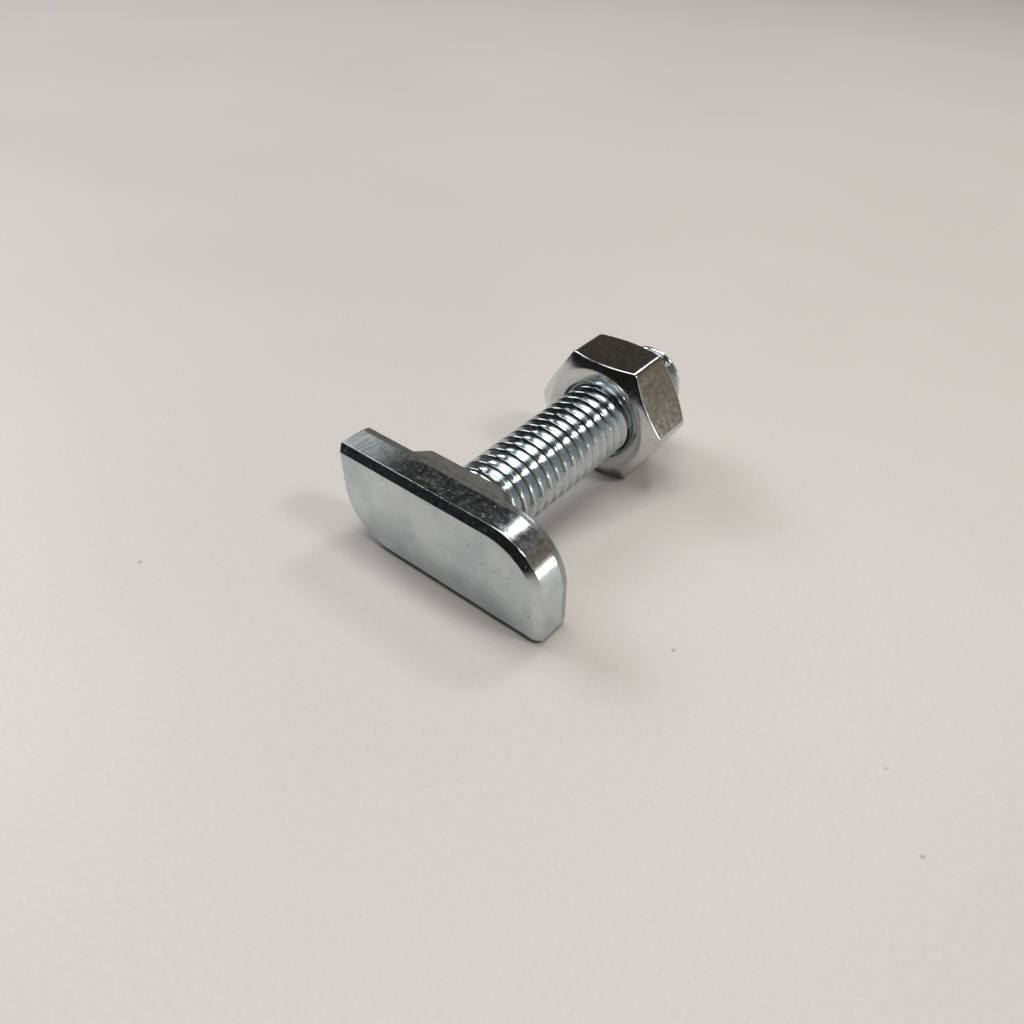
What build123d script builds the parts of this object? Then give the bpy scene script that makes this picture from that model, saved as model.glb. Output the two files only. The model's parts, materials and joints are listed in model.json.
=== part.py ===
from build123d import *
from math import atan2, ceil, cos, radians, sin, tan
import os

# T slot bolt with its hex nut, in millimetres. It lies as it comes to rest on a table: the long lower
# edge of the head and one flat of the nut touch the floor at Z = 0, and the tip points towards +Y.

# hammer head, seen on its face: long side level, two opposite corners cut round so it can turn in a slot
head_length = 23.6
head_width = 10.2
head_thickness = 3.9
turning_corner = 5.7  # radius of the upper right and lower left corners
stop_corner = 1.1  # radius of the two corners that stop the quarter turn
face_chamfer = 0.65  # along the whole edge of the face
trim_height = 0.75  # height above the underside of the line left by trimming the forging
trim_draft = 7.0  # degrees that the trimmed band leans inwards

# square neck that fills the slot under the head
neck_length = 12.0
neck_height = 1.1
neck_ramp = 1.15  # how far each end face slopes inwards over the neck's height
neck_corner = 4.2  # radius of the corners under the head's turning corners
neck_stop_corner = 0.6

# metric thread M8 x 1.25
shank_length = 31.8  # from the underside of the head to the tip
crest_radius = 3.94
pitch = 1.25
thread_angle = 60.0
crest_flat = pitch / 8
root_flat = pitch / 4
groove_overrun = 0.05  # how far the groove's section reaches outside the crest
runout_turns = 1.6  # length of the fading thread next to the neck
runout_start = 0.35  # plain length between the neck and the fading thread
thread_phase = 0.185  # part of a turn that sets where the groove lies round the shank
thread_lead_in = 0.5  # turns that the groove's cut starts ahead of the tip, at the least
tip_chamfer = 0.8
tip_cut_overrun = 0.3  # how far the chamfer's cut reaches outside the crests

# plain hex nut
nut_flats = 13.0
nut_height = 6.5
nut_position = 20.3  # from the underside of the head to the nut's near face
nut_bearing_radius = 6.1  # radius left flat on each face by the chamfer of the corners
nut_chamfer_angle = 30.0
running_clearance = 0.05  # between the thread's crests and the nut's bore
nut_countersink = 0.4  # radial width and depth of the countersink at both ends of the bore
nut_blank_radius = 8.0  # anything beyond the hexagon's corners

# derived thread sizes
groove_depth = (pitch - crest_flat - root_flat) / 2 / tan(radians(thread_angle / 2))
root_radius = crest_radius - groove_depth
groove_half_mouth = (pitch - crest_flat) / 2 + groove_overrun * tan(radians(thread_angle / 2))
thread_end = neck_height + runout_start
groove_start = (ceil(shank_length / pitch + thread_lead_in) + thread_phase) * pitch
thread_turns = ceil((groove_start - thread_end) / pitch)
tip_radius = crest_radius - tip_chamfer
nut_bore_radius = crest_radius + running_clearance
nut_corner_drop = (nut_blank_radius - nut_bearing_radius) * tan(radians(nut_chamfer_angle))
neck_width = head_width - 2 * trim_height * tan(radians(trim_draft))

# resting pose: tilt of the axis and height of the underside of the head above the floor
nut_edge_setback = (nut_flats / 2 - nut_bearing_radius) * tan(radians(nut_chamfer_angle))
rest_rise = (nut_flats - head_width) / 2
rest_run = head_thickness - face_chamfer + nut_position + nut_edge_setback
rest_tilt = atan2(rest_rise, rest_run)
tilt_sin = sin(rest_tilt)
tilt_cos = cos(rest_tilt)
axis_height = head_width / 2 * tilt_cos + (head_thickness - face_chamfer) * tilt_sin
reach_front = (head_width / 2 - face_chamfer) * tilt_sin + head_thickness * tilt_cos
reach_back = shank_length * tilt_cos + tip_radius * tilt_sin
axis_start = (reach_front - reach_back) / 2

# plane of the head's underside: its X runs along the head, its Y up, its Z out through the head's face
seat = Plane(origin=(0, axis_start, axis_height), x_dir=(1, 0, 0), z_dir=(0, -tilt_cos, -tilt_sin))
tip_plane = seat.offset(-shank_length)
helix_base = seat.offset(-groove_start)
# plane through the axis: its X is the radius, its Y the height above the head's underside
radial_plane = Plane(origin=seat.origin, x_dir=seat.x_dir, z_dir=-seat.y_dir)
bolt_axis = Axis(seat.origin, seat.z_dir)

# the helix that the groove follows, turn by turn
with BuildLine() as thread_path:
    for turn in range(thread_turns):
        Helix(
            pitch=pitch,
            height=pitch,
            radius=root_radius,
            center=tuple(helix_base.offset(turn * pitch).origin),
            direction=tuple(seat.z_dir),
        )

with BuildPart() as threaded_shank:
    with BuildSketch(tip_plane):
        Circle(crest_radius)
    extrude(amount=shank_length)
    # the groove, one sweep along the helix
    with BuildSketch(
        Plane(
            origin=thread_path.line @ 0,
            x_dir=thread_path.line @ 0 - helix_base.origin,
            z_dir=thread_path.line % 0,
        )
    ):
        with BuildLine():
            Polyline(
                (0, -root_flat / 2),
                (groove_depth + groove_overrun, -groove_half_mouth),
                (groove_depth + groove_overrun, groove_half_mouth),
                (0, root_flat / 2),
                close=True,
            )
        make_face()
    sweep(path=thread_path.line, is_frenet=True, mode=Mode.SUBTRACT)
    # the fading thread: a cone fills the groove little by little towards the neck
    with BuildSketch(radial_plane):
        with BuildLine():
            Polyline(
                (0, 0),
                (crest_radius, 0),
                (crest_radius, -thread_end),
                (root_radius, -thread_end - runout_turns * pitch),
                (0, -thread_end - runout_turns * pitch),
                close=True,
            )
        make_face()
    revolve(axis=bolt_axis)
    # the chamfer at the tip
    with BuildSketch(radial_plane):
        with BuildLine():
            Polyline(
                (tip_radius, -shank_length),
                (crest_radius + tip_cut_overrun, -shank_length),
                (crest_radius + tip_cut_overrun, -shank_length + tip_chamfer + tip_cut_overrun),
                close=True,
            )
        make_face()
    revolve(axis=bolt_axis, mode=Mode.SUBTRACT)

with BuildPart() as t_bolt:
    # the face side of the head, with its chamfered edge
    with BuildSketch(seat.offset(trim_height)) as head_outline:
        Rectangle(head_length, head_width)
        fillet(head_outline.vertices().sort_by(lambda v: v.X + v.Y)[0::3], turning_corner)
        fillet(head_outline.vertices().sort_by(lambda v: v.Y - v.X)[0::5], stop_corner)
    extrude(amount=head_thickness - trim_height)
    chamfer(faces().sort_by(seat.location.z_axis)[-1].edges(), face_chamfer)
    # the trimmed band under it leans inwards towards the underside
    extrude(head_outline.sketch, amount=-trim_height, taper=trim_draft)
    # the neck, with its end faces sloping
    with BuildSketch(seat) as neck_base:
        Rectangle(neck_length, neck_width)
        fillet(neck_base.vertices().sort_by(lambda v: v.X + v.Y)[0::3], neck_corner)
        fillet(neck_base.vertices().sort_by(lambda v: v.Y - v.X)[0::5], neck_stop_corner)
    with BuildSketch(seat.offset(-neck_height)) as neck_top:
        Rectangle(neck_length - 2 * neck_ramp, neck_width)
        fillet(neck_top.vertices().sort_by(lambda v: v.X + v.Y)[0::3], neck_corner)
        fillet(neck_top.vertices().sort_by(lambda v: v.Y - v.X)[0::5], neck_stop_corner)
    loft()
    # head, neck and shank are one forging
    add(threaded_shank.part)

with BuildPart() as hex_nut:
    # a hexagon with one flat below
    with BuildSketch(seat.offset(-nut_position - nut_height)):
        RegularPolygon(nut_flats / 2, 6, major_radius=False)
    extrude(amount=nut_height)
    # its corners are turned off at an angle on both faces
    with BuildSketch(radial_plane):
        with BuildLine():
            Polyline(
                (0, -nut_position - nut_height),
                (nut_bearing_radius, -nut_position - nut_height),
                (nut_blank_radius, -nut_position - nut_height + nut_corner_drop),
                (nut_blank_radius, -nut_position - nut_corner_drop),
                (nut_bearing_radius, -nut_position),
                (0, -nut_position),
                close=True,
            )
        make_face()
    revolve(axis=bolt_axis, mode=Mode.INTERSECT)
    # the bore, countersunk at both ends
    with BuildSketch(radial_plane):
        with BuildLine():
            Polyline(
                (0, -nut_position - nut_height),
                (nut_bore_radius + nut_countersink, -nut_position - nut_height),
                (nut_bore_radius, -nut_position - nut_height + nut_countersink),
                (nut_bore_radius, -nut_position - nut_countersink),
                (nut_bore_radius + nut_countersink, -nut_position),
                (0, -nut_position),
                close=True,
            )
        make_face()
    revolve(axis=bolt_axis, mode=Mode.SUBTRACT)

t_bolt.part.label = "t_bolt"
hex_nut.part.label = "hex_nut"

os.makedirs("parts", exist_ok=True)
export_step(t_bolt.part, "parts/t_bolt.step")
export_step(hex_nut.part, "parts/hex_nut.step")
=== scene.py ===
import bpy
import bmesh
import json
import math
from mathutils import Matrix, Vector


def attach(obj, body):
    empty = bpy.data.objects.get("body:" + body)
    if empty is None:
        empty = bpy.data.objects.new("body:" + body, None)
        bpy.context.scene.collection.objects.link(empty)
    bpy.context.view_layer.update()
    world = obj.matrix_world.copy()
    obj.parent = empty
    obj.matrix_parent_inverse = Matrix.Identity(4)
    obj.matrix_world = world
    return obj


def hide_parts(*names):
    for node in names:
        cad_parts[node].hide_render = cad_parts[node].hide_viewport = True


# T slot bolt with a hex nut, lying on a pale table.

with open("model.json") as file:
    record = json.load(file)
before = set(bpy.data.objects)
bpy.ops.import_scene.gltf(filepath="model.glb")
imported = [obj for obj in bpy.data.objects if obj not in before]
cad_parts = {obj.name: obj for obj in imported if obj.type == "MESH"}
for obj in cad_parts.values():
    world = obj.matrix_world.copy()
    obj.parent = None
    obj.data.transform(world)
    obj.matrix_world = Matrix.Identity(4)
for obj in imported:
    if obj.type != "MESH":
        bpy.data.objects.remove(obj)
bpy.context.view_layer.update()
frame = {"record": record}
mounts = {m["name"]: m for m in frame["record"]["mounts"]}

# the bolt's own directions, read from the record: x along the head, y up its face, z out of its face
tipward = Vector(mounts["thread"]["axis"]).normalized()
sideways = Vector((1, 0, 0))
upward = sideways.cross(tipward)
seatPoint = Vector(mounts["thread"]["pos_m"])
seatPoint = seatPoint + tipward * (Vector(mounts["head_bearing"]["pos_m"]) - seatPoint).dot(tipward)
nutNear = (Vector(mounts["nut_bearing"]["pos_m"]) - seatPoint).dot(tipward) * 1000
print("frame loaded, nut face at", round(nutNear, 3), "mm from the head")


# a point in the bolt's own millimetres, in the row frame's metres
def toRow(x, y, z):
    return seatPoint + (sideways * x + upward * y - tipward * z) * 0.001


# a point at that radius, turned from the top towards +x, that far from the head towards the tip
def around(radius, turn, depth):
    return toRow(radius * math.sin(turn), radius * math.cos(turn), -depth)


# distances in metres
meshValues = {"merge": 2e-7, "sliver": 1e-7, "flatWeight": 80}


# a smooth mesh, with a number at each point for every mark
def makeObject(name, points, faces, marks):
    mesh = bpy.data.meshes.new(name)
    mesh.from_pydata([tuple(p) for p in points], [], faces)
    for mark, values in marks.items():
        layer = mesh.attributes.new(mark, "FLOAT", "POINT")
        layer.data.foreach_set("value", values)
    cleaner = bmesh.new()
    cleaner.from_mesh(mesh)
    bmesh.ops.remove_doubles(cleaner, verts=cleaner.verts, dist=meshValues["merge"])
    bmesh.ops.dissolve_degenerate(cleaner, edges=cleaner.edges, dist=meshValues["sliver"])
    bmesh.ops.recalc_face_normals(cleaner, faces=cleaner.faces)
    cleaner.to_mesh(mesh)
    cleaner.free()
    mesh.polygons.foreach_set("use_smooth", [True] * len(mesh.polygons))
    obj = bpy.data.objects.new(name, mesh)
    bpy.context.scene.collection.objects.link(obj)
    weigh = obj.modifiers.new("flat faces stay flat", "WEIGHTED_NORMAL")
    weigh.weight = meshValues["flatWeight"]
    return obj


# a skin over closed rings of equal length, with the two ends closed
def joinRings(rings, points, faces, capStart=True, capEnd=True):
    start = len(points)
    count = len(rings[0])
    for ring in rings:
        points.extend(ring)
    for r in range(len(rings) - 1):
        low = start + r * count
        for i in range(count):
            j = (i + 1) % count
            faces.append((low + i, low + j, low + count + j, low + count + i))
    if capStart:
        faces.append(tuple(start + i for i in reversed(range(count))))
    if capEnd:
        last = start + (len(rings) - 1) * count
        faces.append(tuple(last + i for i in range(count)))


slabValues = {"wideSteps": 28, "tightSteps": 10, "leastRadius": 0.04}


# the outline of the head or neck at one height: two opposite corners wide, the other two tight
def slabRing(halfLength, halfWidth, wideRadius, tightRadius, inset, z):
    ring = []
    wide = (wideRadius, slabValues["wideSteps"])
    tight = (tightRadius, slabValues["tightSteps"])
    corners = [(1, 1, *wide), (-1, 1, *tight), (-1, -1, *wide), (1, -1, *tight)]
    for number, (signX, signY, radius, steps) in enumerate(corners):
        r = max(radius - inset, slabValues["leastRadius"])
        cx = signX * (halfLength - inset - r)
        cy = signY * (halfWidth - inset - r)
        for step in range(steps + 1):
            angle = math.pi / 2 * (number + step / steps)
            ring.append(toRow(cx + r * math.cos(angle), cy + r * math.sin(angle), z))
    return ring


# bolt: head, neck and threaded shank, one forging, in millimetres; only shearedBelow is in the row's metres
headValues = {
    "halfLength": 11.8, "halfWidth": 5.1, "thickness": 3.9, "wideRadius": 5.7, "tightRadius": 0.5,
    "chamfer": 0.65, "trimHeight": 0.75, "trimInset": 0.092, "markSlack": 0.02, "shearedBelow": -0.008,
}
neckValues = {"halfLength": 6.0, "endSlope": 1.15, "height": 1.1, "wideRadius": 1.6, "tightRadius": 0.6}
threadValues = {
    "crest": 3.94, "root": 3.263, "pitch": 1.25, "length": 31.8, "tipRadius": 3.14, "fadeStart": 3.45,
    "fadeEnd": 1.45, "flare": 0.3, "crestAtBottom": 0.8565, "rowsPerTurn": 84, "spareTurns": 3,
    "hiddenStart": 0.4,
}
# half a tooth, from the middle of the crest to the middle of the groove: distance along the axis, radius
toothShape = [
    (0.0, 3.931), (0.035, 3.940), (0.07, 3.930), (0.105, 3.890), (0.2, 3.7285), (0.41, 3.365),
    (0.455, 3.300), (0.51, 3.266), (0.57, 3.254), (0.625, 3.252),
]


# the tooth's radius, with the thread fading out at the neck and cut by the chamfer at the tip
def threadRadius(radius, depth):
    v = threadValues
    fade = (v["fadeStart"] - depth) / (v["fadeStart"] - v["fadeEnd"])
    if fade > 0:
        radius = max(radius, v["root"] + min(fade, 1) * (v["crest"] - v["root"]))
    nearNeck = neckValues["height"] + v["flare"] - depth
    if nearNeck > 0:
        radius += v["flare"] * (1 - math.sqrt(max(0, 1 - (nearNeck / v["flare"]) ** 2)))
    return min(radius, v["tipRadius"] + v["length"] - depth)


def buildBolt():
    points, faces = [], []
    marks = {"trimmed": [], "sheared": [], "rolled": []}
    h = headValues
    c = h["chamfer"]
    t = h["thickness"]
    trim = h["trimInset"]
    line = h["trimHeight"]
    # the head from its underside to its face: inset from the outline, height
    profile = [
        (trim + 0.2, 0), (trim + 0.06, 0.012), (trim + 0.014, 0.06), (trim, 0.16), (0.02, line - 0.05),
        (0.0, line), (0.0, line + 0.04), (0, t - c - 0.06), (0.004, t - c - 0.016), (0.016, t - c + 0.01),
        (0.045, t - c + 0.042), (c - 0.07, t - 0.065), (c - 0.025, t - 0.024), (c + 0.025, t - 0.005),
        (c + 0.1, t), (c + 0.5, t),
    ]
    outline = [h[key] for key in ("halfLength", "halfWidth", "wideRadius", "tightRadius")]
    rings = [slabRing(*outline, inset, z) for inset, z in profile]
    joinRings(rings, points, faces)
    # the trimmed band is dull, and the left end of the side keeps the lines of the shear
    bandTop = line + h["markSlack"]
    sideTop = t - c + h["markSlack"]
    for ring, (inset, z) in zip(rings, profile):
        for point in ring:
            marks["trimmed"].append(1.0 if z < bandTop else 0.0)
            marks["sheared"].append(1.0 if bandTop < z < sideTop and point.x < h["shearedBelow"] else 0.0)
            marks["rolled"].append(0.0)
    # the neck from its end to inside the head; the last rings keep the hidden end out of its shading
    n = neckValues
    end = -n["height"]
    profile = [
        (0.3, end), (0.05, end), (0.018, end + 0.008), (0.004, end + 0.03), (0.0, end + 0.08), (0.0, -0.03),
        (0.0, 0.04), (0.0, 0.06),
    ]
    rings = []
    for inset, z in profile:
        length = n["halfLength"] - n["endSlope"] * -z / n["height"]
        rings.append(slabRing(length, h["halfWidth"] - trim, n["wideRadius"], n["tightRadius"], inset, z))
    joinRings(rings, points, faces)
    # the neck is duller than the band
    marks["trimmed"] += [2.0] * (len(points) - len(marks["trimmed"]))
    marks["rolled"] += [0.0] * (len(points) - len(marks["rolled"]))
    # the thread, one strip of tooth per turn, each joined to the next
    v = threadValues
    tooth = [(-along, radius) for along, radius in reversed(toothShape[1:])] + toothShape[:-1]
    columns = len(tooth)
    rows = v["rowsPerTurn"]
    start = len(points)
    turns = int(v["length"] / v["pitch"]) + 2 * v["spareTurns"]
    for row in range(turns * rows + 1):
        turn = 2 * math.pi * row / rows
        middle = v["crestAtBottom"] + v["pitch"] * (row / rows - v["spareTurns"])
        for along, radius in tooth:
            depth = min(max(middle + along, v["hiddenStart"]), v["length"])
            points.append(around(threadRadius(radius, depth), turn + math.pi, depth))
    for row in range(turns * rows):
        for column in range(columns):
            a = start + row * columns + column
            b = a + columns
            if column < columns - 1:
                faces.append((a, a + 1, b + 1, b))
            elif row + rows < turns * rows:
                faces.append((a, start + (row + rows) * columns, start + (row + rows + 1) * columns, b))
    # the flat end, very slightly hollow
    rings = []
    for radius, hollow in [(v["tipRadius"], 0), (v["tipRadius"] - 0.1, 0.0), (1.9, 0.03), (0.9, 0.08)]:
        depth = v["length"] - hollow
        rings.append([around(radius, 2 * math.pi * i / rows + math.pi, depth) for i in range(rows)])
    joinRings(rings, points, faces, capStart=False)
    for mark, value in (("trimmed", 0.0), ("sheared", 0.0), ("rolled", 1.0)):
        marks[mark] += [value] * (len(points) - len(marks[mark]))
    return makeObject("boltForging", points, faces, marks)


bolt = buildBolt()
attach(bolt, "bolt")
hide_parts("t_bolt")
print("bolt built,", len(bolt.data.polygons), "faces")

# nut: plain hexagon, corners turned off on both faces, countersunk bore
nutValues = {
    "flats": 13.0, "height": 6.5, "bearing": 5.75, "slope": math.tan(math.radians(30)), "bore": 3.99,
    "sink": 0.4, "cornerRadius": 0.75, "steps": 360,
}


# how far out the nut's side lies in one direction, with the upright corners rounded
def nutEdge(turn):
    half = nutValues["flats"] / 2
    corner = nutValues["cornerRadius"]
    offCentre = math.radians((math.degrees(turn) + 30) % 60 - 30)
    edge = half / math.cos(offCentre)
    # the corner is an arc about a point that lies that far out on the corner's diagonal
    away = math.pi / 6 - abs(offCentre)
    centre = (half - corner) / math.cos(math.pi / 6)
    side = centre * math.sin(away)
    if side < corner / 2:
        edge = min(edge, centre * math.cos(away) + math.sqrt(corner ** 2 - side ** 2))
    return edge


# from the bore over one face to the side: radius, depth under that face
def nutProfile(edge):
    bore = nutValues["bore"]
    sink = nutValues["sink"]
    flat = nutValues["bearing"]

    def drop(radius):
        return (radius - flat) * nutValues["slope"]

    return [
        (bore, sink + 0.05), (bore + 0.02, sink - 0.02), (bore + sink - 0.05, 0.04),
        (bore + sink + 0.05, 0.0), (flat - 0.12, 0.0), (flat - 0.02, 0.012), (flat + 0.08, drop(flat + 0.08)),
        (edge - 0.16, drop(edge - 0.16)), (edge - 0.055, drop(edge) - 0.01),
        (edge - 0.013, drop(edge) + 0.055), (edge, drop(edge) + 0.17),
    ]


def buildNut():
    points, faces = [], []
    columns = []
    for i in range(nutValues["steps"]):
        turn = 2 * math.pi * i / nutValues["steps"]
        profile = nutProfile(nutEdge(turn))
        profile += [(radius, nutValues["height"] - depth) for radius, depth in reversed(profile)]
        columns.append([around(radius, turn, nutNear + depth) for radius, depth in profile])
    rings = list(zip(*columns))
    joinRings(rings + rings[:1], points, faces, capStart=False, capEnd=False)
    return makeObject("hexNut", points, faces, {})


nut = buildNut()
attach(nut, "nut")
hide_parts("hex_nut")
print("nut built,", len(nut.data.polygons), "faces")


# materials
def newGroup(name, inputs, outputs):
    group = bpy.data.node_groups.new(name, "ShaderNodeTree")
    for label, kind, value in inputs:
        made = group.interface.new_socket(label, in_out="INPUT", socket_type=kind)
        if value is not None:
            made.default_value = value
    for label, kind in outputs:
        group.interface.new_socket(label, in_out="OUTPUT", socket_type=kind)
    return group, group.nodes.new("NodeGroupInput"), group.nodes.new("NodeGroupOutput")


def addNode(tree, kind, **settings):
    node = tree.nodes.new(kind)
    for key, value in settings.items():
        if key in node.inputs:
            node.inputs[key].default_value = value
        else:
            setattr(node, key, value)
    return node


def mapValue(tree, source, fromLow, fromHigh, toLow=0.0, toHigh=1.0):
    node = addNode(tree, "ShaderNodeMapRange")
    labels = ("From Min", "From Max", "To Min", "To Max")
    for label, value in zip(labels, (fromLow, fromHigh, toLow, toHigh)):
        node.inputs[label].default_value = value
    tree.links.new(source, node.inputs["Value"])
    return node.outputs["Result"]


# each term is a socket or a number
def calculate(tree, operation, *terms):
    node = addNode(tree, "ShaderNodeMath", operation=operation)
    for socket, term in zip(node.inputs, terms):
        if isinstance(term, (int, float)):
            socket.default_value = term
        else:
            tree.links.new(term, socket)
    return node.outputs["Value"]


def mixColor(tree, factor, first, second, blend="MIX"):
    node = addNode(tree, "ShaderNodeMix", data_type="RGBA", blend_type=blend)
    tree.links.new(factor, node.inputs["Factor"])
    for socket, color in zip((node.inputs[6], node.inputs[7]), (first, second)):
        if isinstance(color, tuple):
            socket.default_value = color
        else:
            tree.links.new(color, socket)
    return node.outputs[2]


# a texture on the object's own millimetres, turned about its upright axis and drawn out
def placed(tree, source, kind, turn=0.0, stretch=(1, 1, 1), **settings):
    mapping = addNode(tree, "ShaderNodeMapping")
    mapping.inputs["Rotation"].default_value = (0, 0, math.radians(turn))
    mapping.inputs["Scale"].default_value = stretch
    tree.links.new(source, mapping.inputs["Vector"])
    texture = addNode(tree, kind, **settings)
    tree.links.new(mapping.outputs["Vector"], texture.inputs["Vector"])
    return texture


def addBump(tree, height, strength, distance, before=None):
    node = addNode(tree, "ShaderNodeBump", Distance=distance)
    tree.links.new(height, node.inputs["Height"])
    tree.links.new(strength, node.inputs["Strength"])
    if before:
        tree.links.new(before, node.inputs["Normal"])
    return node.outputs["Normal"]


# zinc plate: textures are in millimetres and depths in metres
# masks are (from, to) or (from, to, at from, at to)
platingValues = {
    "cloud": {"Scale": 0.3, "Detail": 5.0, "Roughness": 0.65}, "cloudMask": (0.38, 0.62),
    "mottle": {"Scale": 2.2, "Detail": 4.0, "Roughness": 0.6}, "mottleRoughness": (0.3, 0.7, -0.05, 0.07),
    "fine": {"Scale": 7.0, "Detail": 5.0, "Roughness": 0.7}, "fineDepth": 0.00002,
    "pitScale": 3.4, "pitMask": (0.02, 0.25), "pitDepth": 0.000016,
    "fleckScale": 1.4, "fleckReach": (0.4, 1.0, 0.0, 0.15), "fleckMask": (0.0, 0.03), "fleckDark": 0.75,
    "fleckColor": (0.05, 0.05, 0.05, 1), "fleckDepth": 0.00003,
    # turn in degrees, length, thinness
    "scratchWays": ((24, 0.12, 0.02), (-38, 0.16, 0.016), (4, 0.1, 0.014)),
    "scratchNoise": {"Scale": 1.0, "Detail": 1.0}, "scratchStretch": (15.0, 9.0),
    "scratchMask": (0.48, 0.62), "scratchRoughness": 0.14, "scratchDepth": 0.0000008,
    "lines": {"turn": -14, "stretch": (7.5, 0.4, 0.4), "Scale": 1.0, "Detail": 6.0, "Roughness": 0.75},
    "linesEdge": (0.3, 0.7, -0.16, 0.16), "linesMask": (0.42, 0.58), "linesStart": (0.5, 0.8),
    "linesDark": 0.7,
    "linesColor": (0.06, 0.06, 0.06, 1), "linesStrength": (0.45, 0.85, 0.0, 0.9), "linesDepth": 0.00004,
    "shearMask": (0.62, 0.98), "shearRoughness": 0.22, "shearMetal": -0.5,
    "trimmedTone": 0.45, "trimmedRoughness": 0.12, "trimmedMetal": -0.12,
    "calmThread": 0.15, "pitsForFullDark": 0.3,
}


# cloudy tone, pits with a few dark flecks, crossing scratches, dull trimmed band, shear lines
def buildPlating():
    group, entry, leave = newGroup(
        "zincPlating",
        [("Tone", "NodeSocketColor", (0.7, 0.7, 0.7, 1)), ("Cloud", "NodeSocketColor", (0.6, 0.6, 0.6, 1)),
         ("Dull Tone", "NodeSocketColor", (0.4, 0.4, 0.38, 1)), ("Roughness", "NodeSocketFloat", 0.2),
         ("Pits", "NodeSocketFloat", 0.3), ("Scratches", "NodeSocketFloat", 0.3),
         ("Grain", "NodeSocketFloat", 1.0), ("Trimmed", "NodeSocketFloat", 0.0),
         ("Sheared", "NodeSocketFloat", 0.0), ("Rolled", "NodeSocketFloat", 0.0)],
        [("Color", "NodeSocketColor"), ("Roughness", "NodeSocketFloat"), ("Metallic", "NodeSocketFloat"),
         ("Normal", "NodeSocketVector")])
    v = platingValues
    socket = entry.outputs

    def noise(values):
        return placed(group, here, "ShaderNodeTexNoise", **values).outputs["Fac"]

    def multiply(first, second):
        return calculate(group, "MULTIPLY", first, second)

    spot = addNode(group, "ShaderNodeTexCoord")
    scale = addNode(group, "ShaderNodeMapping")
    scale.inputs["Scale"].default_value = (1000, 1000, 1000)
    group.links.new(spot.outputs["Object"], scale.inputs["Vector"])
    here = scale.outputs["Vector"]
    cloud = noise(v["cloud"])
    mottle = noise(v["mottle"])
    fine = noise(v["fine"])
    pits = placed(group, here, "ShaderNodeTexVoronoi", Scale=v["pitScale"]).outputs["Distance"]
    flecks = placed(group, here, "ShaderNodeTexVoronoi", Scale=v["fleckScale"])
    split = addNode(group, "ShaderNodeSeparateColor")
    group.links.new(flecks.outputs["Color"], split.inputs["Color"])
    reach = mapValue(group, split.outputs["Red"], *v["fleckReach"])
    inside = calculate(group, "SUBTRACT", reach, flecks.outputs["Distance"])
    fleckMask = mapValue(group, inside, *v["fleckMask"])
    # the rolled thread is smoother than the rest
    calm = mapValue(group, socket["Rolled"], 0.0, 1.0, 1.0, v["calmThread"])
    # scratches: thin contour lines of long drawn-out noise, in three directions, in patches
    strokes = []
    for turn, length, thin in v["scratchWays"]:
        wisp = noise({"turn": turn, "stretch": (length / 2, *v["scratchStretch"]), **v["scratchNoise"]})
        away = calculate(group, "ABSOLUTE", calculate(group, "SUBTRACT", wisp, 0.5))
        strokes.append(mapValue(group, away, 0.0, thin, 1.0, 0.0))
    stroke = calculate(group, "MAXIMUM", calculate(group, "MAXIMUM", strokes[0], strokes[1]), strokes[2])
    scratch = multiply(stroke, mapValue(group, mottle, *v["scratchMask"]))
    # shear lines run across the side and fade towards the middle of the head
    lines = noise(v["lines"])
    edge = calculate(group, "ADD", socket["Sheared"], mapValue(group, lines, *v["linesEdge"]))
    shear = mapValue(group, edge, *v["shearMask"])
    lineMask = multiply(mapValue(group, lines, *v["linesMask"]), mapValue(group, edge, *v["linesStart"]))
    tone = mixColor(group, mapValue(group, cloud, *v["cloudMask"]), socket["Tone"], socket["Cloud"])
    tone = mixColor(group, multiply(socket["Trimmed"], v["trimmedTone"]), tone, socket["Dull Tone"])
    tone = mixColor(group, multiply(lineMask, v["linesDark"]), tone, v["linesColor"])
    dark = multiply(multiply(fleckMask, v["fleckDark"]), calm)
    dark = multiply(dark, mapValue(group, socket["Pits"], 0.0, v["pitsForFullDark"]))
    tone = mixColor(group, dark, tone, v["fleckColor"])
    group.links.new(tone, leave.inputs["Color"])
    rough = calculate(group, "ADD", socket["Roughness"], mapValue(group, mottle, *v["mottleRoughness"]))
    rough = calculate(group, "MULTIPLY_ADD", socket["Trimmed"], v["trimmedRoughness"], rough)
    rough = calculate(group, "MULTIPLY_ADD", shear, v["shearRoughness"], rough)
    scuffed = multiply(scratch, socket["Scratches"])
    rough = calculate(group, "MULTIPLY_ADD", scuffed, v["scratchRoughness"], rough)
    group.links.new(rough, leave.inputs["Roughness"])
    metal = calculate(group, "MULTIPLY_ADD", shear, v["shearMetal"], 1.0)
    metal = calculate(group, "MULTIPLY_ADD", socket["Trimmed"], v["trimmedMetal"], metal)
    group.links.new(metal, leave.inputs["Metallic"])
    pitStrength = multiply(socket["Pits"], calm)
    fleckHeight = mapValue(group, fleckMask, 0.0, 1.0, 1.0, 0.0)
    normal = addBump(group, fine, multiply(socket["Grain"], calm), v["fineDepth"])
    normal = addBump(group, mapValue(group, pits, *v["pitMask"]), pitStrength, v["pitDepth"], normal)
    normal = addBump(group, fleckHeight, pitStrength, v["fleckDepth"], normal)
    normal = addBump(group, scratch, multiply(socket["Scratches"], calm), v["scratchDepth"], normal)
    normal = addBump(group, lines, mapValue(group, edge, *v["linesStrength"]), v["linesDepth"], normal)
    group.links.new(normal, leave.inputs["Normal"])
    return group


plating = buildPlating()


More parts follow.
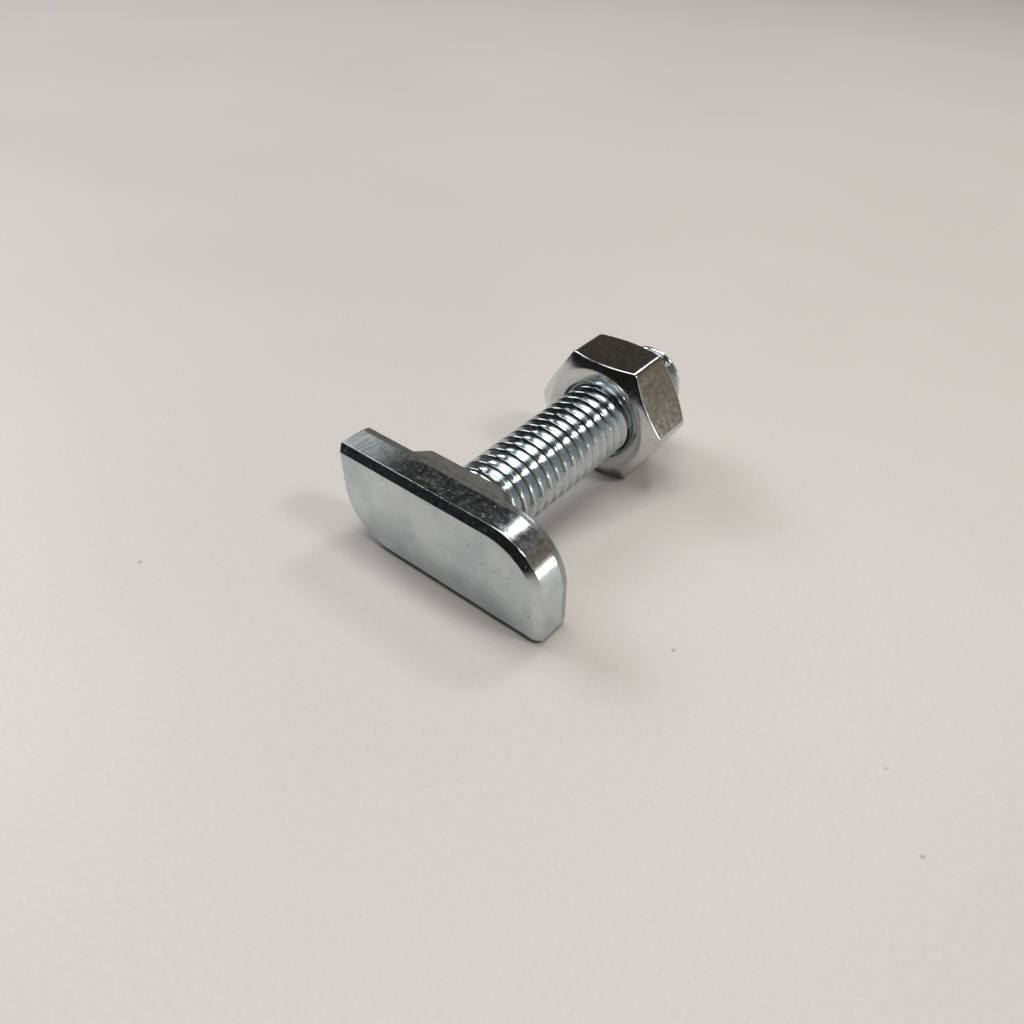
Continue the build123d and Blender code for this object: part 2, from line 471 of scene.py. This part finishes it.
def zincMaterial(name, values, marks=()):
    material = bpy.data.materials.new(name)
    material.use_nodes = True
    tree = material.node_tree
    shader = tree.nodes["Principled BSDF"]
    surface = addNode(tree, "ShaderNodeGroup", node_tree=plating)
    for key, value in values.items():
        surface.inputs[key].default_value = value
    tree.links.new(surface.outputs["Color"], shader.inputs["Base Color"])
    for label in ("Roughness", "Metallic", "Normal"):
        tree.links.new(surface.outputs[label], shader.inputs[label])
    for mark in marks:
        reader = addNode(tree, "ShaderNodeAttribute", attribute_name=mark)
        tree.links.new(reader.outputs["Fac"], surface.inputs[mark.capitalize()])
    return material


boltZinc = {
    "Tone": (0.64, 0.69, 0.71, 1), "Cloud": (0.52, 0.575, 0.60, 1), "Dull Tone": (0.13, 0.12, 0.10, 1),
    "Roughness": 0.17, "Pits": 0.3, "Scratches": 0.5, "Grain": 0.35,
}
nutZinc = {
    "Tone": (0.66, 0.68, 0.68, 1), "Cloud": (0.56, 0.57, 0.56, 1), "Dull Tone": (0.4, 0.4, 0.38, 1),
    "Roughness": 0.16, "Pits": 0.02, "Scratches": 0.04, "Grain": 0.15,
}
bolt.data.materials.append(zincMaterial("boltZinc", boltZinc, ("trimmed", "sheared", "rolled")))
nut.data.materials.append(zincMaterial("nutZinc", nutZinc))
print("plating done")

# table, in metres
tableValues = {
    "size": 1.6, "color": (0.64, 0.605, 0.575, 1), "cloudColor": (0.585, 0.55, 0.52, 1),
    "speckColor": (0.30, 0.275, 0.25, 1), "cloud": {"Scale": 14.0, "Detail": 3.0, "Roughness": 0.5},
    "cloudMask": (0.3, 0.7, 0.0, 0.6), "grain": {"Scale": 2600.0, "Detail": 3.0, "Roughness": 0.6},
    "grainMask": (0.3, 0.75, 0.0, 0.12), "grainRoughness": (0.3, 0.7, 0.4, 0.55), "grainDepth": 0.00002,
    "grainStrength": 0.3, "speckScale": 210.0, "speckReach": (0.35, 1.0, 0.0, 0.065),
    "speckMask": (0.0, 0.03, 0.0, 0.75),
}


def buildTable():
    v = tableValues
    half = v["size"] / 2
    mesh = bpy.data.meshes.new("table")
    corners = [(-half, -half, 0), (half, -half, 0), (half, half, 0), (-half, half, 0)]
    mesh.from_pydata(corners, [], [(0, 1, 2, 3)])
    obj = bpy.data.objects.new("table", mesh)
    bpy.context.scene.collection.objects.link(obj)
    material = bpy.data.materials.new("tableTop")
    material.use_nodes = True
    tree = material.node_tree
    shader = tree.nodes["Principled BSDF"]
    spot = addNode(tree, "ShaderNodeTexCoord").outputs["Object"]
    cloud = placed(tree, spot, "ShaderNodeTexNoise", **v["cloud"]).outputs["Fac"]
    grain = placed(tree, spot, "ShaderNodeTexNoise", **v["grain"]).outputs["Fac"]
    specks = placed(tree, spot, "ShaderNodeTexVoronoi", Scale=v["speckScale"])
    split = addNode(tree, "ShaderNodeSeparateColor")
    tree.links.new(specks.outputs["Color"], split.inputs["Color"])
    reach = mapValue(tree, split.outputs["Green"], *v["speckReach"])
    inside = calculate(tree, "SUBTRACT", reach, specks.outputs["Distance"])
    speckMask = mapValue(tree, inside, *v["speckMask"])
    color = mixColor(tree, mapValue(tree, cloud, *v["cloudMask"]), v["color"], v["cloudColor"])
    color = mixColor(tree, mapValue(tree, grain, *v["grainMask"]), color, v["speckColor"])
    color = mixColor(tree, speckMask, color, v["speckColor"])
    tree.links.new(color, shader.inputs["Base Color"])
    tree.links.new(mapValue(tree, grain, *v["grainRoughness"]), shader.inputs["Roughness"])
    bump = addNode(tree, "ShaderNodeBump", Distance=v["grainDepth"], Strength=v["grainStrength"])
    tree.links.new(grain, bump.inputs["Height"])
    tree.links.new(bump.outputs["Normal"], shader.inputs["Normal"])
    mesh.materials.append(material)
    return obj


table = buildTable()


# light
def addArea(name, place, target, size, power, color):
    light = bpy.data.lights.new(name, "AREA")
    light.shape = "RECTANGLE"
    light.size, light.size_y = size
    light.energy = power
    light.color = color
    obj = bpy.data.objects.new(name, light)
    obj.location = place
    obj.rotation_euler = (Vector(target) - Vector(place)).to_track_quat("-Z", "Y").to_euler()
    bpy.context.scene.collection.objects.link(obj)
    return obj


# name, direction from the bolt, distance in metres, size in metres, power in watts, colour
lamps = [
    ("overheadPanel", (-0.12, 0.0, 1.0), 0.75, (0.5, 0.5), 3.2, (1.0, 0.98, 0.95)),
    ("window", (-0.78, -0.05, 0.62), 1.2, (0.55, 0.45), 6.0, (0.94, 0.97, 1.0)),
    ("backLamp", (-0.02, 0.62, 0.78), 0.85, (0.17, 0.15), 1.2, (1.0, 0.99, 0.97)),
    ("sideLamp", (0.61, 0.145, 0.78), 0.85, (0.15, 0.12), 1.6, (1.0, 0.99, 0.97)),
    ("lowLamp", (0.81, 0.57, 0.11), 0.85, (0.14, 0.07), 0.4, (1.0, 0.98, 0.95)),
]
for name, direction, distance, size, power, color in lamps:
    addArea(name, Vector(direction).normalized() * distance, (0, 0, 0), size, power, color)


# masks over a direction's x, y and z are (from, to) or (from, to, at from, at to)
roomValues = {
    "low": (0.17, 0.135, 0.095, 1), "high": (0.009, 0.008, 0.008, 1),
    "between": ((0.2, (0.14, 0.11, 0.08, 1)), (0.5, (0.075, 0.062, 0.046, 1)),
                (0.56, (0.058, 0.049, 0.037, 1)), (0.63, (0.013, 0.011, 0.010, 1))),
    "lowerToTheRight": (-0.2, 0.5, 0.0, 0.27), "behind": (-0.1, 0.4), "rightwards": (-0.9, 0.0, 0.45, 1.0),
    "elsewhere": (0.012, 0.011, 0.011, 1),
    "wall": (0.5, 0.51, 0.51, 1), "wallRight": (0.25, 0.75), "wallInFront": (0.5, 0.15),
    "wallBeside": (-0.5, -0.2), "wallBelow": (0.75, 0.4),
    "seenColor": (0.62, 0.59, 0.56, 1),
}


# the room: dark above, with a brown glow low down behind the bolt, weaker on the left
def buildRoom():
    v = roomValues
    world = bpy.data.worlds.new("room")
    world.use_nodes = True
    tree = world.node_tree
    direction = addNode(tree, "ShaderNodeTexCoord")
    split = addNode(tree, "ShaderNodeSeparateXYZ")
    tree.links.new(direction.outputs["Generated"], split.inputs["Vector"])

    def mask(axis, key):
        return mapValue(tree, split.outputs[axis], *v[key])

    def multiply(first, second):
        return calculate(tree, "MULTIPLY", first, second)

    ramp = addNode(tree, "ShaderNodeValToRGB")
    ramp.color_ramp.elements[0].color = v["low"]
    ramp.color_ramp.elements[1].color = v["high"]
    for place, color in v["between"]:
        ramp.color_ramp.elements.new(place).color = color
    shift = mask("X", "lowerToTheRight")
    tree.links.new(calculate(tree, "SUBTRACT", split.outputs["Z"], shift), ramp.inputs["Fac"])
    glow = multiply(mask("Y", "behind"), mask("X", "rightwards"))
    color = mixColor(tree, glow, v["elsewhere"], ramp.outputs["Color"])
    # a pale wall on the right, in front of the bolt
    wall = multiply(multiply(mask("X", "wallRight"), mask("Y", "wallInFront")), mask("Z", "wallBelow"))
    wall = multiply(wall, mask("Y", "wallBeside"))
    color = mixColor(tree, wall, color, v["wall"])
    # seen straight on, the room is as pale as the table
    path = addNode(tree, "ShaderNodeLightPath")
    color = mixColor(tree, path.outputs["Is Camera Ray"], color, v["seenColor"])
    tree.links.new(color, tree.nodes["Background"].inputs["Color"])
    return world


bpy.context.scene.world = buildRoom()
print("light done")

# camera, at the angle that the bolt is seen from
cameraValues = {
    "place": (0.038859, -0.056802, 0.052014), "turn": (51.693, -2.246, 39.613), "lens": 29.12, "sensor": 36,
    "nearest": 0.001,
}
cameraData = bpy.data.cameras.new("camera")
cameraData.lens = cameraValues["lens"]
cameraData.sensor_width = cameraValues["sensor"]
cameraData.clip_start = cameraValues["nearest"]
camera = bpy.data.objects.new("camera", cameraData)
camera.location = cameraValues["place"]
camera.rotation_euler = [math.radians(a) for a in cameraValues["turn"]]
bpy.context.scene.collection.objects.link(camera)
bpy.context.scene.camera = camera
bpy.context.scene.view_settings.view_transform = "Standard"
